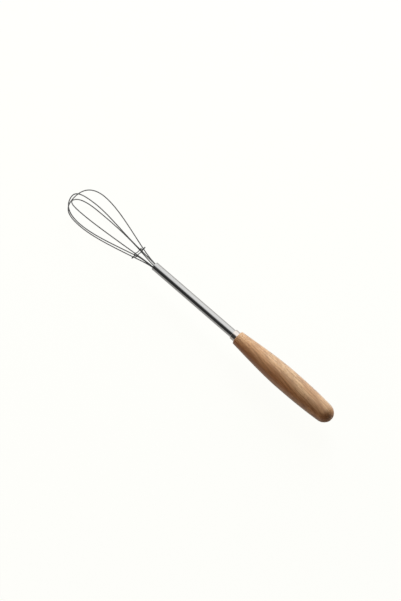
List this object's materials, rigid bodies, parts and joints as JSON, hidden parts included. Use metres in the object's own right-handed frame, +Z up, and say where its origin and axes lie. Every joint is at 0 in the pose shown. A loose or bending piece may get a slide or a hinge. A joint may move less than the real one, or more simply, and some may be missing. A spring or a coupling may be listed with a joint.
{
  "type": "balloon whisk",
  "caption": "Hand whisk with wire loops set in a slim steel tube, a lobed wire spacer, a steel collar and a turned wooden handle.",
  "frame": {"origin": "centre of the small flat on the handle's butt, on the whisk's axis", "axes": "+X along the axis from the handle's butt to the wire head, +Z up with the whisk lying down, so that two of the six wires are underneath"},
  "size_m": [0.2504, 0.029, 0.0254],
  "materials": {
    "beech": "smooth turned beech, thin oil finish, fine grain along the handle",
    "polished_steel": "polished stainless steel with faint lengthwise draw marks",
    "wire_steel": "drawn stainless wire, semi-bright",
    "solder": "dull cast metal",
    "glue": "cured clear-amber resin"
  },
  "bodies": {
    "root": {"wood_handle": "beech", "glue_sleeve": "glue", "ferrule_collar": "polished_steel", "shaft_tube": "polished_steel", "wire_plug": "solder", "wire_loop_outer": "wire_steel", "wire_loop_middle": "wire_steel", "wire_loop_inner": "wire_steel", "wire_spacer": "wire_steel"}
  },
  "joints": []
}
